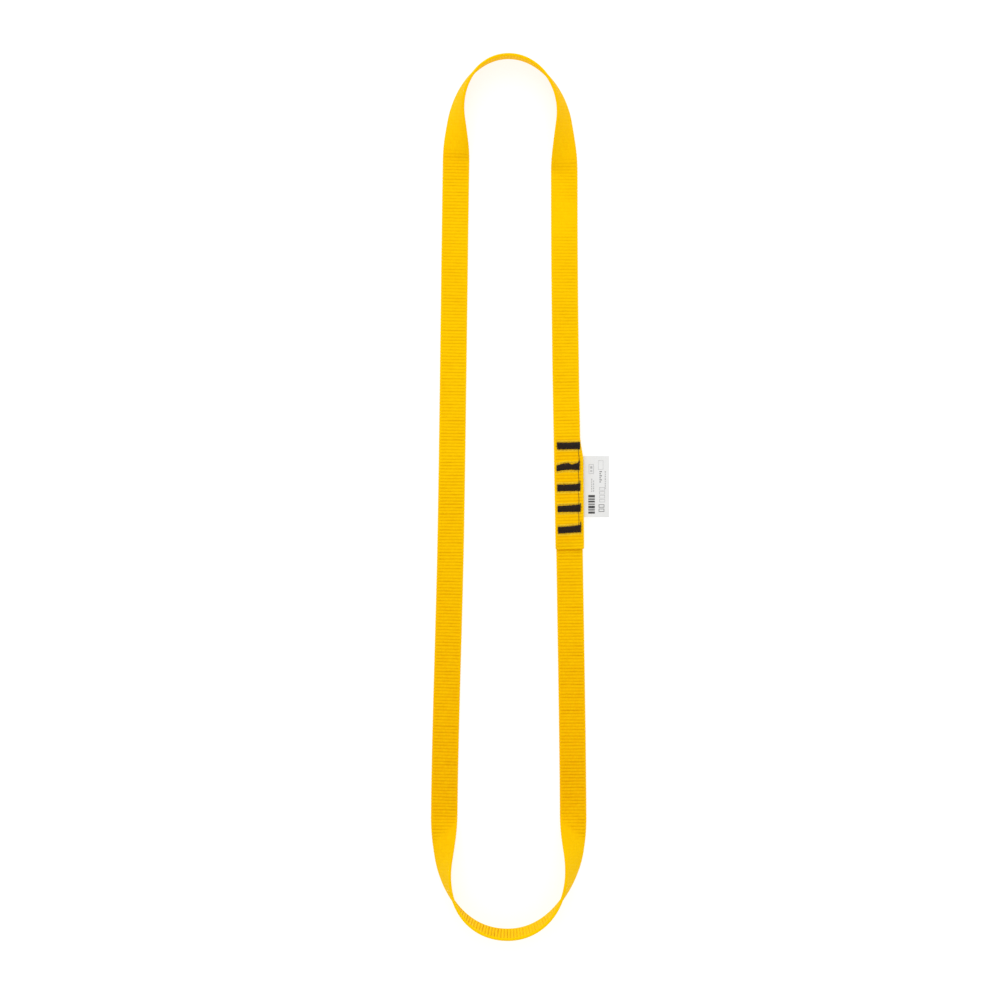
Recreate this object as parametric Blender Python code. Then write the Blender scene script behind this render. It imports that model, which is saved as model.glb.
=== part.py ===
"""A sewn webbing sling, lying on a flat surface: one strip of flat polyester webbing whose two ends
overlap and are held together by five bar tacks, with a printed label sewn in between the layers.
The tacks are sewn in one run of lockstitch, so both threads also jump from each tack to the next.

Both legs lie flat. At each end of the loop the strip rolls a quarter turn, so that it stands on its
lower edge and forms an eye. The outer face of the loop looks up along the legs.

Frame: origin at the middle of the sling on the surface it lies on, +Y along the legs, +Z up. Metres.
"""

import math

import bmesh
import bpy
import numpy as np
from mathutils import Matrix, Vector
from mathutils.geometry import interpolate_bezier

# Driving dimensions.
STRAP_WIDTH = 0.017
STRAP_THICKNESS = 0.0018
STRAP_CORNER = 0.0005
GAP = 0.0003

# The strip's centre line seen from above, as Bezier knots, from the cut end of the top layer up the
# right leg, over the upper eye, down the left leg, round the lower eye, and up to the cut end of the
# bottom layer: x, y, heading in degrees (90 is +Y), length of the handle behind and of the one ahead.
STRAP_KNOTS = (
    (0.0312, -0.0337, 91.0, 0.0, 0.0700),
    (0.0284, 0.1900, 90.0, 0.0700, 0.0160),
    (0.0280, 0.2377, 91.0, 0.0160, 0.0228),
    (-0.0071, 0.2794, 180.0, 0.0186, 0.0186),
    (-0.0402, 0.2387, 269.0, 0.0230, 0.0800),
    (-0.0439, -0.0200, 269.0, 0.0800, 0.0700),
    (-0.0483, -0.2293, 270.0, 0.0700, 0.0275),
    (-0.0077, -0.2780, 0.0, 0.0252, 0.0248),
    (0.0341, -0.2243, 90.0, 0.0300, 0.0500),
    (0.0322, -0.0650, 90.9, 0.0500, 0.0300),
    (0.0303, 0.0367, 91.5, 0.0300, 0.0),
)
UPPER_CROWN_KNOT = 3
LOWER_CROWN_KNOT = 7
SAMPLES_PER_SPAN = 96

# How the strip rolls from lying flat to standing on edge. The reach is the length of strip from the
# crown of the eye to where the roll begins, first on the side that the strip comes from.
UPPER_CROWN_ROLL = 87.0
UPPER_REACH = (0.092, 0.084)
UPPER_ROLL_POWER = 2.6
LOWER_CROWN_ROLL = 102.5
LOWER_REACH = (0.099, 0.098)
LOWER_ROLL_POWER = 2.2
ROLL_SOFT_START = 0.04

# The seam: the lap of the two layers, and the stack of bar tack, bottom layer, label and top layer.
TACK_COUNT = 5
TACK_PITCH = 0.0133
TACK_TOP_Y = 0.0322
TACK_LENGTH = 0.0147
TACK_WIDTH = 0.0045
TACK_THICKNESS = 0.0005
TACK_XS = (0.0310, 0.0308, 0.0311, 0.0314, 0.0316)
TACK_TURNS = (0.5, 4.0, 1.0, 0.5, 2.5)
STITCH_ROW_LENGTH = 0.0110
STITCH_ROW_THICKNESS = 0.0005
LABEL_THICKNESS = 0.00025
LAP_LENGTH = 0.0704
UPPER_RAMP = 0.034

# The stitching spreads the top layer's outer edge, from nothing at the first length to all of it at
# the second one, and a little less at the cut end.
SPREAD_LENGTHS = (0.072, 0.056)
EDGE_SPREAD = 0.0018
CUT_END_SPREAD = 0.0013
LOWER_RAMP = 0.026
THREAD_RADIUS = 0.00025
JUMP_THREAD_X = 0.0378
JUMP_THREAD_BOW = 0.0003

# The label: its sewn-in margin lies between the layers, and its flap stands out of the right side.
LABEL_TOP = 0.0259
LABEL_BOTTOM = -0.0131
LABEL_INNER_X = 0.0330
LABEL_HINGE_X = 0.0417
LABEL_MARGIN_GAP = 0.0003
LABEL_OUTER_X = 0.0568

# Where the sling folds for stowing, across both legs, clear of the seam.
FOLD_Y = 0.145
FOLD_Z = 0.003

# Heights in the stack, from the surface up.
BOTTOM_LAYER_Z = TACK_THICKNESS + GAP
LABEL_Z = BOTTOM_LAYER_Z + STRAP_THICKNESS + GAP
TOP_LAYER_Z = LABEL_Z + LABEL_THICKNESS + GAP
TOP_TACK_Z = TOP_LAYER_Z + STRAP_THICKNESS + GAP
STACK_HEIGHT = TOP_TACK_Z + TACK_THICKNESS
THREADS_MEET_Z = STACK_HEIGHT / 2.0

# Ring spacing along the strip.
FINE_STEP = 0.0042
COARSE_STEP = 0.0150
CROWN_FACET = 0.0050
SHARP_ANGLE = 30.0

YELLOW_WEBBING = ("yellow_webbing", (0.92, 0.51, 0.005, 1.0), 0.75)
BLACK_THREAD = ("black_thread", (0.018, 0.016, 0.018, 1.0), 0.6)
WHITE_LABEL = ("white_label", (0.80, 0.80, 0.78, 1.0), 0.5)


def smooth_step(t):
    """0 to 1 as t goes from 0 to 1, level at both ends."""
    t = min(max(t, 0.0), 1.0)
    return t * t * (3.0 - 2.0 * t)


def heading(degrees):
    angle = math.radians(degrees)
    return Vector((math.cos(angle), math.sin(angle), 0.0))


class StrapRoute:
    """The centre line of the strip: its place, roll and frame at a length s from the top layer's end."""

    def __init__(self):
        points = []
        knot_index = []
        for before, after in zip(STRAP_KNOTS, STRAP_KNOTS[1:]):
            start = Vector((before[0], before[1], 0.0))
            end = Vector((after[0], after[1], 0.0))
            ahead = start + heading(before[2]) * before[4]
            behind = end - heading(after[2]) * after[3]
            span = interpolate_bezier(start, ahead, behind, end, SAMPLES_PER_SPAN)
            knot_index.append(len(points))
            points += span[:-1]
        knot_index.append(len(points))
        points.append(Vector((STRAP_KNOTS[-1][0], STRAP_KNOTS[-1][1], 0.0)))
        self.plan = np.array([p[:2] for p in points], float)
        steps = np.linalg.norm(np.diff(self.plan, axis=0), axis=1)
        self.along = np.concatenate([[0.0], np.cumsum(steps)])
        self.length = float(self.along[-1])
        self.upper_crown = float(self.along[knot_index[UPPER_CROWN_KNOT]])
        self.lower_crown = float(self.along[knot_index[LOWER_CROWN_KNOT]])

    def place(self, s):
        """x and y at s."""
        return tuple(float(np.interp(s, self.along, self.plan[:, k])) for k in range(2))

    def crossing(self, y, low, high):
        """The length s between low and high at which the strip crosses the line at y."""
        inside = (self.along >= low) & (self.along <= high)
        s, across = self.along[inside], self.plan[inside, 1]
        if across[0] > across[-1]:
            s, across = s[::-1], across[::-1]
        return float(np.interp(y, across, s))

    def roll(self, s):
        """Radians that the strip has turned about its own length: 0 lying flat, a right angle on edge."""
        eyes = (
            (self.upper_crown, UPPER_REACH, UPPER_CROWN_ROLL, UPPER_ROLL_POWER),
            (self.lower_crown, LOWER_REACH, LOWER_CROWN_ROLL, LOWER_ROLL_POWER),
        )
        for crown, reach, crown_roll, power in eyes:
            far = reach[0] if s < crown else reach[1]
            t = 1.0 - abs(s - crown) / far
            if t > 0.0:
                soft = math.hypot(t, ROLL_SOFT_START) - ROLL_SOFT_START
                soft /= math.hypot(1.0, ROLL_SOFT_START) - ROLL_SOFT_START
                return math.radians(crown_roll) * (1.0 - (1.0 - soft) ** power)
        return 0.0

    def height(self, s):
        """Height of the centre line: the lower edge on the surface, lifted where the layers lap."""
        roll = self.roll(s)
        half_section = (STRAP_WIDTH * math.sin(roll) + STRAP_THICKNESS * abs(math.cos(roll))) / 2.0
        top_lift = TOP_LAYER_Z * smooth_step((LAP_LENGTH + UPPER_RAMP - s) / UPPER_RAMP)
        from_end = self.length - s
        bottom_lift = BOTTOM_LAYER_Z * smooth_step((LAP_LENGTH + LOWER_RAMP - from_end) / LOWER_RAMP)
        return half_section + top_lift + bottom_lift

    def spread(self, s):
        """How far the stitching has moved the top layer's outer edge outwards."""
        first, full = SPREAD_LENGTHS
        widest = CUT_END_SPREAD + (EDGE_SPREAD - CUT_END_SPREAD) * min(s / full, 1.0)
        return widest * smooth_step((first - s) / (first - full))

    def point(self, s):
        return Vector((*self.place(s), self.height(s)))

    def frame(self, s):
        """The centre, the direction across the strip towards its inner edge, and the outer face's normal."""
        nudge = 0.0004
        low, high = max(s - nudge, 0.0), min(s + nudge, self.length)
        tangent = (self.point(high) - self.point(low)).normalized()
        inward = Vector((-tangent.y, tangent.x, 0.0)).normalized()
        upward = tangent.cross(inward) * -1.0
        upward = upward if upward.z > 0.0 else -upward
        roll = self.roll(s)
        across = inward * math.cos(roll) + upward * math.sin(roll)
        normal = upward * math.cos(roll) - inward * math.sin(roll)
        return self.point(s), across, normal


ROUTE = StrapRoute()


def ring_lengths(start, end):
    """Where the rings of a length of strip lie: close together in the eyes and at the ramps, far apart
    along the straight legs, with one flat facet centred on each crown."""
    stops = [start, end]
    for crown in (ROUTE.upper_crown, ROUTE.lower_crown):
        stops += [crown - CROWN_FACET / 2.0, crown + CROWN_FACET / 2.0]
    fine = (
        (ROUTE.upper_crown - UPPER_REACH[0], ROUTE.upper_crown + UPPER_REACH[1]),
        (ROUTE.lower_crown - LOWER_REACH[0], ROUTE.lower_crown + LOWER_REACH[1]),
        (SPREAD_LENGTHS[1], LAP_LENGTH + UPPER_RAMP),
        (ROUTE.length - LAP_LENGTH - LOWER_RAMP, ROUTE.length - LAP_LENGTH),
    )
    stops += [edge for stretch in fine for edge in stretch]
    stops = sorted(s for s in set(stops) if start <= s <= end)
    lengths = []
    for low, high in zip(stops, stops[1:]):
        middle = (low + high) / 2.0
        on_crown = any(
            abs(middle - crown) < CROWN_FACET / 4.0 for crown in (ROUTE.upper_crown, ROUTE.lower_crown)
        )
        is_fine = any(a <= middle <= b for a, b in fine)
        step = FINE_STEP if is_fine else COARSE_STEP
        count = 1 if on_crown else max(1, math.ceil((high - low) / step))
        lengths += [low + (high - low) * i / count for i in range(count)]
    return lengths + [stops[-1]]


def strap_section():
    """The strip's outline across its width and thickness, with its corners taken off."""
    half_width, half_thickness = STRAP_WIDTH / 2.0, STRAP_THICKNESS / 2.0
    corners = ((1, 1), (-1, 1), (-1, -1), (1, -1))
    outline = []
    for i, (u, v) in enumerate(corners):
        side = (u * half_width, v * (half_thickness - STRAP_CORNER))
        face = (u * (half_width - STRAP_CORNER), v * half_thickness)
        outline += [side, face] if i % 2 == 0 else [face, side]
    return outline


def link(name, mesh, material_spec, origin=Vector()):
    """A node with that mesh, which is given in the sling's frame, and its origin at that point."""
    mesh.transform(Matrix.Translation(-origin))
    mesh.materials.append(material(*material_spec))
    node = bpy.data.objects.new(name, mesh)
    node.location = origin
    bpy.context.scene.collection.objects.link(node)
    return node


def material(name, colour, roughness):
    found = bpy.data.materials.get(name)
    if found:
        return found
    made = bpy.data.materials.new(name)
    made.use_nodes = True
    shader = made.node_tree.nodes["Principled BSDF"]
    shader.inputs["Base Color"].default_value = colour
    shader.inputs["Roughness"].default_value = roughness
    shader.inputs["Metallic"].default_value = 0.0
    return made


def mesh_from(name, form):
    """Turns a bmesh into a mesh with its faces pointing out, shaded smooth where it is round."""
    bmesh.ops.recalc_face_normals(form, faces=form.faces)
    mesh = bpy.data.meshes.new(name)
    form.to_mesh(mesh)
    form.free()
    mesh.shade_smooth()
    mesh.set_sharp_from_angle(angle=math.radians(SHARP_ANGLE))
    return mesh


def strap_length(name, start, end, origin=Vector()):
    """The strip from one length to another, as one closed solid."""
    form = bmesh.new()
    rings = []
    for s in ring_lengths(start, end):
        centre, across, normal = ROUTE.frame(s)
        spread = ROUTE.spread(s)
        section = [(u - spread * (0.5 - u / STRAP_WIDTH), v) for u, v in strap_section()]
        rings.append([form.verts.new(centre + across * u + normal * v) for u, v in section])
    for ring, following in zip(rings, rings[1:]):
        for i in range(len(ring)):
            j = (i + 1) % len(ring)
            form.faces.new((ring[i], ring[j], following[j], following[i]))
    form.faces.new(rings[0])
    form.faces.new(rings[-1])
    return link(name, mesh_from(name, form), YELLOW_WEBBING, origin)


def add_box(form, low, high, turn=Matrix()):
    """Adds a box between two corners to a bmesh, then turns it."""
    centre = (Vector(low) + Vector(high)) / 2.0
    size = Vector(high) - Vector(low)
    place = turn @ Matrix.Translation(centre) @ Matrix.Diagonal((*size, 1.0))
    return bmesh.ops.create_cube(form, size=1.0, matrix=place)["verts"]


def tack_place(number):
    """Where the middle of a bar tack stands on the surface, and how it is turned."""
    y = TACK_TOP_Y - number * TACK_PITCH
    turn = Matrix.Rotation(math.radians(TACK_TURNS[number]), 4, "Z")
    return Matrix.Translation((TACK_XS[number], y, 0.0)) @ turn


def stitch_rows(extra):
    """The two rows of stitches that pass down through the layers in a bar tack, wider by extra."""
    half_length = STITCH_ROW_LENGTH / 2.0 + extra
    outer = TACK_WIDTH / 2.0
    for side in (-1.0, 1.0):
        middle = side * (outer - STITCH_ROW_THICKNESS)
        half = STITCH_ROW_THICKNESS / 2.0 + extra
        yield (-half_length, middle - half), (half_length, middle + half)


def needle_slits():
    """A cutter for the slits that the stitch rows of all the bar tacks pass through."""
    form = bmesh.new()
    for number in range(TACK_COUNT):
        for low, high in stitch_rows(GAP):
            add_box(form, (*low, -GAP), (*high, STACK_HEIGHT), tack_place(number))
    cutter = bpy.data.objects.new("needle_slits", mesh_from("needle_slits", form))
    cutter.hide_render = True
    cutter.display_type = "WIRE"
    bpy.context.scene.collection.objects.link(cutter)
    return cutter


def pierce(node, cutter):
    cut = node.modifiers.new("needle slits", "BOOLEAN")
    cut.operation = "DIFFERENCE"
    cut.object = cutter


def half_tack(number, thread, outer, inner, meeting):
    """One thread's half of a bar tack: the bar from the outer height to the inner one, and two rows of
    stitches that run on into the layers, to the height where they meet the other thread."""
    place = tack_place(number)
    half_length, half_width = TACK_LENGTH / 2.0, TACK_WIDTH / 2.0
    rows = list(stitch_rows(0.0))
    xs = sorted({-half_length, half_length, rows[0][0][0], rows[0][1][0]})
    ys = sorted({-half_width, half_width, *(corner[1] for row in rows for corner in row)})
    zs = sorted((outer, inner, meeting))
    bar_layer = 1 if outer > inner else 0
    form = bmesh.new()
    corner = {}

    def vertex(i, j, k):
        if (i, j, k) not in corner:
            corner[i, j, k] = form.verts.new(place @ Vector((xs[i], ys[j], zs[k])))
        return corner[i, j, k]

    def filled(i, j, k):
        """Whether the cell of the grid is thread: all of the bar, and the two rows beyond it."""
        if not (0 <= i < 3 and 0 <= j < 5 and 0 <= k < 2):
            return False
        return k == bar_layer or (i == 1 and j in (1, 3))

    for i in range(3):
        for j in range(5):
            for k in range(2):
                if not filled(i, j, k):
                    continue
                for axis in range(3):
                    for side in (0, 1):
                        beyond = [i, j, k]
                        beyond[axis] += 2 * side - 1
                        if filled(*beyond):
                            continue
                        face = []
                        for p, q in ((0, 0), (1, 0), (1, 1), (0, 1)):
                            offset = [p, q]
                            offset.insert(axis, side)
                            face.append(vertex(i + offset[0], j + offset[1], k + offset[2]))
                        form.faces.new(face)
    name = f"bar_tack_{number + 1}_{thread}"
    return link(name, mesh_from(name, form), BLACK_THREAD)


def bar_tack(number):
    """A bar tack is a lockstitch: the needle thread on top and the bobbin thread underneath, which
    interlock halfway through the layers."""
    half_tack(number, "needle_thread", STACK_HEIGHT, TOP_TACK_Z, THREADS_MEET_Z + GAP / 2.0)
    half_tack(number, "bobbin_thread", 0.0, TACK_THICKNESS, THREADS_MEET_Z - GAP / 2.0)


def jump_thread(number, thread, height):
    """The thread that runs on from one bar tack to the next, along the edge of the seam."""
    clear = TACK_WIDTH / 2.0 + GAP + math.sin(math.radians(max(TACK_TURNS))) * TACK_LENGTH / 2.0
    top = TACK_TOP_Y - number * TACK_PITCH - clear
    bottom = TACK_TOP_Y - (number + 1) * TACK_PITCH + clear
    curve = bpy.data.curves.new(f"jump_{number + 1}_{thread}", "CURVE")
    curve.dimensions = "3D"
    curve.bevel_depth = THREAD_RADIUS
    curve.bevel_resolution = 2
    curve.use_fill_caps = True
    spline = curve.splines.new("POLY")
    steps = 6
    spline.points.add(steps)
    for i, point in enumerate(spline.points):
        t = i / steps
        x = JUMP_THREAD_X + JUMP_THREAD_BOW * math.sin(math.pi * t)
        point.co = (x, top + (bottom - top) * t, height, 1.0)
    curve.materials.append(material(*BLACK_THREAD))
    node = bpy.data.objects.new(curve.name, curve)
    bpy.context.scene.collection.objects.link(node)
    return node


def label_piece(name, inner, outer, origin=Vector()):
    form = bmesh.new()
    low = (inner, LABEL_BOTTOM, LABEL_Z)
    high = (outer, LABEL_TOP, LABEL_Z + LABEL_THICKNESS)
    add_box(form, low, high)
    return link(name, mesh_from(name, form), WHITE_LABEL, origin)


def build():
    for old in list(bpy.data.objects):
        bpy.data.objects.remove(old)
    right_top_fold = ROUTE.crossing(FOLD_Y, 0.0, ROUTE.upper_crown)
    left_top_fold = ROUTE.crossing(FOLD_Y, ROUTE.upper_crown, ROUTE.lower_crown)
    left_bottom_fold = ROUTE.crossing(-FOLD_Y, ROUTE.upper_crown, ROUTE.lower_crown)
    right_bottom_fold = ROUTE.crossing(-FOLD_Y, ROUTE.lower_crown, ROUTE.length)
    half_gap = GAP / 2.0
    upper_axis = Vector((0.0, FOLD_Y, FOLD_Z))
    lower_axis = Vector((0.0, -FOLD_Y, FOLD_Z))
    label_axis = Vector((LABEL_HINGE_X, 0.0, LABEL_Z + LABEL_THICKNESS / 2.0))
    slits = needle_slits()
    pierced = [
        strap_length("webbing_seam_top_layer", 0.0, right_top_fold - half_gap),
        strap_length("webbing_seam_bottom_layer", right_bottom_fold + half_gap, ROUTE.length),
        label_piece("label_sewn_margin", LABEL_INNER_X, LABEL_HINGE_X - LABEL_MARGIN_GAP),
    ]
    for node in pierced:
        pierce(node, slits)
    strap_length("webbing_left_leg", left_top_fold + half_gap, left_bottom_fold - half_gap)
    strap_length("webbing_upper_eye", right_top_fold + half_gap, left_top_fold - half_gap, upper_axis)
    strap_length("webbing_lower_eye", left_bottom_fold + half_gap, right_bottom_fold - half_gap, lower_axis)
    label_piece("label_flap", LABEL_HINGE_X + half_gap, LABEL_OUTER_X, label_axis)
    for number in range(TACK_COUNT):
        bar_tack(number)
    for number in range(TACK_COUNT - 1):
        jump_thread(number, "needle_thread", TOP_TACK_Z + THREAD_RADIUS)
        jump_thread(number, "bobbin_thread", BOTTOM_LAYER_Z / 2.0)


build()
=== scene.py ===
import math

import bmesh
import bpy
import numpy as np
from mathutils import Matrix, Vector
from mathutils.geometry import interpolate_bezier


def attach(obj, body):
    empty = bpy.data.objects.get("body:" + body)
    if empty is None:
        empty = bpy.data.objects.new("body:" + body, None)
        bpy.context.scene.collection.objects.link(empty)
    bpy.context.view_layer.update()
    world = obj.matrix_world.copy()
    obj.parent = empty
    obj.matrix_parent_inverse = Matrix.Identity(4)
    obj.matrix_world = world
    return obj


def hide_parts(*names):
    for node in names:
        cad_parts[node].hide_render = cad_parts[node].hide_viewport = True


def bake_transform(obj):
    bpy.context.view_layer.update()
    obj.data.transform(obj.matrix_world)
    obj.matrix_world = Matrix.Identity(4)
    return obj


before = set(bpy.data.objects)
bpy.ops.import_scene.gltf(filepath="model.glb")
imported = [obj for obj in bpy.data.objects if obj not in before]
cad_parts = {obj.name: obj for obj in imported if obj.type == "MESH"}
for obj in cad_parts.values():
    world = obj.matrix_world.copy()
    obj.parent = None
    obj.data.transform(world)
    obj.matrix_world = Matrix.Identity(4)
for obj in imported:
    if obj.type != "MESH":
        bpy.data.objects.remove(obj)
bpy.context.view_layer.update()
rng = np.random.default_rng(17)

# ---- The sling's measures, in metres -------------------------------------------------------------

# Places on the webbing are s, u and v: s runs along it from the top layer's cut end, u across it from its
# middle towards the loop's inner edge, and v out of its middle plane towards its outer face.
WEBBING_WIDTH = 0.017
WEBBING_THICKNESS = 0.0018
SELVEDGE_DEPTH = 0.0007
SELVEDGE_PINCH = 0.00012
CUT_CORNER = 0.0010

RIB_PITCH = 0.00205
GROOVE_DEPTH = 0.00022
INNER_GROOVE_DEPTH = 0.00016
GROOVE_SHARPNESS = 2.2

# Shares of the webbing's width: the plain margin at each edge, and how far in from there a groove is full.
GROOVE_MARGIN = 0.02
GROOVE_RUN_IN = 0.08

# How much of a rib's length each notch in the selvedge takes.
PINCH_SHARE = 0.18

# The ribs lean a little one way and then the other along the webbing.
RIB_SLANT = 0.012
SLANT_PERIOD = 0.31
SLANT_START = 1.0

# Where the mesh has a ring of points within each rib, closest together at its groove, and how near a ring
# may come to the end of a run.
RING_SHARES = (0.0, 0.1, 0.24, 0.5, 0.76, 0.9)
RING_GAP = 0.0001
OUTER_COLUMNS = 25
INNER_COLUMNS = 13
SELVEDGE_POINTS = 5

# The webbing's centre line from the top layer's cut end, up the right leg, over the upper eye, down the
# left leg, round the lower eye and up to the bottom layer's cut end:
# x, y, heading in degrees, length of the handle behind and of the one ahead.
WEBBING_KNOTS = (
    (0.0312, -0.0337, 91.0, 0.0, 0.0700),
    (0.0284, 0.1900, 90.0, 0.0700, 0.0160),
    (0.0280, 0.2377, 91.0, 0.0160, 0.0228),
    (-0.0071, 0.2794, 180.0, 0.0186, 0.0186),
    (-0.0402, 0.2387, 269.0, 0.0230, 0.0800),
    (-0.0439, -0.0200, 269.0, 0.0800, 0.0700),
    (-0.0483, -0.2293, 270.0, 0.0700, 0.0275),
    (-0.0077, -0.2780, 0.0, 0.0252, 0.0248),
    (0.0341, -0.2243, 90.0, 0.0300, 0.0500),
    (0.0322, -0.0650, 90.9, 0.0500, 0.0300),
    (0.0303, 0.0367, 91.5, 0.0300, 0.0),
)
UPPER_CROWN_KNOT = 3
LOWER_CROWN_KNOT = 7
SAMPLES_PER_SPAN = 96

# The ribs pull smooth where the webbing rolls up on edge. In degrees of roll: where that starts at the
# inner edge, how much later it starts at the outer edge of the upper eye and of the lower one, how much
# sooner it starts past the lower crown, and how many degrees it takes. Close to a crown they come back.
SMOOTH_FROM = 3.0
SMOOTH_LATER_UPPER = 4.0
SMOOTH_LATER_LOWER = 24.0
SMOOTH_SOONER = 5.0
SMOOTH_OVER = 12.0
TWIST_SMOOTHING = 0.93
RIBS_BACK_FROM = 72.0
RIBS_BACK_OVER = 11.0
RIBS_BACK = 0.75

# A stretch of the right leg is pulled smooth too: its middle, and how smooth it is and how far it reaches,
# right across the webbing and then at the inner edge.
PULLED_Y = 0.181
PULLED_ACROSS = (0.85, 0.010)
PULLED_INNER_EDGE = (0.6, 0.040)
PULLED_MOST = 0.9

# The ribs are fainter in the upper part of the loop: how much, from which y, and the length it takes.
UPPER_FADE = (0.25, -0.02, 0.12)

# How much of the ribs shows on the inner face, and how much more in the lower eye: that starts and ends at
# these lengths before and past the crown, and is strongest to the left of this x.
INNER_SHOW = 0.35
LOWER_EYE_SHOW = 1.15
LOWER_EYE_BEFORE = 0.05
LOWER_EYE_PAST = 0.06
LOWER_EYE_X = 0.008

# How the webbing rolls up on edge towards each crown: degrees at the crown, length of webbing on the
# side it comes from and on the side it goes to, and how fast it rolls.
UPPER_ROLL = (87.0, 0.092, 0.084, 2.6)
LOWER_ROLL = (102.5, 0.099, 0.098, 2.2)
ROLL_SOFT_START = 0.04

# The seam, from the surface up.
BOTTOM_LAYER_Z = 0.0008
TOP_LAYER_Z = 0.00345
LAP_LENGTH = 0.0704
UPPER_RAMP = 0.034
LOWER_RAMP = 0.026

# The stitching spreads the top layer's outer edge, from nothing at the first length to all of it at
# the second one, and a little less at the cut end.
SPREAD_LENGTHS = (0.072, 0.056)
EDGE_SPREAD = 0.0018
CUT_END_SPREAD = 0.0013

# The top layer's cut end sags on to the layer below, and the part of it towards the inner edge is pressed
# thin. A cut end's corners are melted round, and it thins out towards the cut.
CUT_END_SAG = 0.0007
CUT_END_SAG_FROM = 0.0095
CUT_END_SAG_OVER = 0.0080
CUT_END_PRESS = 0.0008
CUT_END_PRESS_REACH = 0.0045
CUT_END_PRESS_FROM = -0.0042
CUT_END_PRESS_OVER = 0.0047
CUT_END_THINNING = 0.4
TOP_FACE_Z = TOP_LAYER_Z + WEBBING_THICKNESS

TACK_COUNT = 5
TACK_PITCH = 0.0133
TACK_TOP_Y = 0.0322
TACK_XS = (0.0310, 0.0307, 0.0311, 0.0314, 0.0316)
TACK_HALF_LENGTH = 0.0073
TACK_HALF_WIDTH = 0.0022
TACK_STITCHES = 38
STITCH_PITCH = 2.0 * TACK_HALF_LENGTH / TACK_STITCHES
STITCH_SLANT = STITCH_PITCH * 0.15
THREAD_RADIUS = 0.00022
THREAD_LIFT = 0.00012
JUMP_X = 0.0374

# The webbing beside a tack: how far past its ends it is held, and how far it takes to come loose; the depth
# and reach of the dip under the stitches; the height, reach and distance of the lip beside them; and the
# height and reach of the swelling halfway to the next tack. The lower layer's relief is less, and faces
# down. Past the last distance the webbing counts as unstitched.
HOLD_PAST_END = 0.0012
HOLD_FADE = 0.0016
TACK_DIP = (0.00036, 0.0021)
TACK_LIP = (0.00014, 0.0008, 0.0033)
TACK_SWELL = (0.00010, 0.0022)
LOWER_LAYER_RELIEF = -0.6
UNSTITCHED = 0.009

# How far the thread pulls out of the upper right corner of each tack, towards the tack above.
TACK_SPIKES = (0.0004, 0.0022, 0.0024, 0.0012, 0.0027)

# How each tack runs from its left end to its right one: places along it, how far its middle strays from
# a straight line, and how long its stitches are beside their full length.
TACK_RUNS = (
    ((-1.0, 0.0, 1.0), (0.0, 0.0, 0.0002), (1.0, 0.95, 1.0)),
    (
        (-1.0, -0.6, -0.3, 0.05, 0.33, 0.6, 1.0),
        (-0.0011, -0.0003, 0.0001, 0.0002, -0.0001, 0.0, 0.0004),
        (0.85, 0.95, 1.0, 1.0, 0.72, 0.95, 1.15),
    ),
    ((-1.0, 0.0, 1.0), (-0.0002, 0.0, 0.0003), (0.95, 0.93, 1.05)),
    ((-1.0, 0.0, 1.0), (-0.0003, 0.0, 0.0003), (0.9, 0.95, 1.1)),
    ((-1.0, 0.0, 1.0), (-0.0005, 0.0, 0.0006), (0.92, 0.97, 1.1)),
)

LABEL_INNER_X = 0.0330
LABEL_HINGE_X = 0.0417
LABEL_OUTER_X = 0.0568
LABEL_TOP = 0.0259
LABEL_BOTTOM = -0.0131
LABEL_Z = 0.003025
LABEL_THICKNESS = 0.00025
LABEL_EDGE_RADIUS = 0.00006

# How far the label's free edge lifts, and how much of that comes and goes along it.
LABEL_LIFT = 0.0009
LABEL_WAVE = 0.35

# The label's print. The striped block: its left edge, lowest y and width, and the height of each stripe
# with the gap above it, in tenths of a millimetre.
INK_THICKNESS = 0.00002
INK_GAP = 0.00001
INK_GRID = 0.0006
STRIPES_X = 0.0436
STRIPES_Y = -0.0109
STRIPES_WIDTH = 0.0042
STRIPES = ((14, 6), (8, 5), (18, 6), (7, 7), (12, 5), (9, 6), (16, 0))

# Boxes: x and y of the lower left corner, width, height and stroke.
DARK_BOXES = (
    (0.0502, -0.0097, 0.0036, 0.0020, 0.00040),
    (0.0502, -0.0070, 0.0036, 0.0020, 0.00040),
)
GREY_BOXES = (
    (0.0506, -0.0036, 0.0036, 0.0019, 0.00026),
    (0.0506, -0.0011, 0.0036, 0.0019, 0.00026),
    (0.0506, 0.0014, 0.0036, 0.0019, 0.00026),
    (0.0506, 0.0039, 0.0036, 0.0019, 0.00026),
    (0.0439, 0.0145, 0.0032, 0.0060, 0.00026),
    (0.0499, 0.0172, 0.0032, 0.0058, 0.00016),
)

# Bars inside a box: x and y of the lower left corner, width and height.
BOXED_BARS = ((0.0449, 0.0158, 0.0013, 0.0009), (0.0449, 0.0177, 0.0013, 0.0016))

# Rows of dashes: x, first y and last y.
DASH_ROWS = ((0.0455, 0.0030, 0.0104), (0.0467, 0.0030, 0.0092), (0.0541, 0.0050, 0.0160))
DASH_WIDTH = 0.0006
DASH_SHORTEST = 0.0006
DASH_STRAY = 0.0007
DASH_GAP = 0.0005

TICK_COUNT = 6
TICK_X = 0.0507
TICK_Y = 0.0090
TICK_PITCH = 0.0013

# Painted shade and light along the loop's height: the lower legs shaded darker towards the bottom, the lower
# crown painted lighter, and the upper eye shaded a little darker. For each: where along Y it comes in, where
# it goes again, how much of it there is, and its colour.
DEEP_YELLOW = (0.95, 0.475, 0.0006, 1.0)
PAINTED_SHADE_AND_LIGHT = (
    ((-0.240, -0.185), (-0.200, 0.020), 1.0, DEEP_YELLOW),
    ((-0.300, -0.290), (-0.265, -0.245), 0.7, (1.0, 0.66, 0.001, 1.0)),
    ((0.195, 0.215), (0.255, 0.270), 0.4, DEEP_YELLOW),
)

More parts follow.
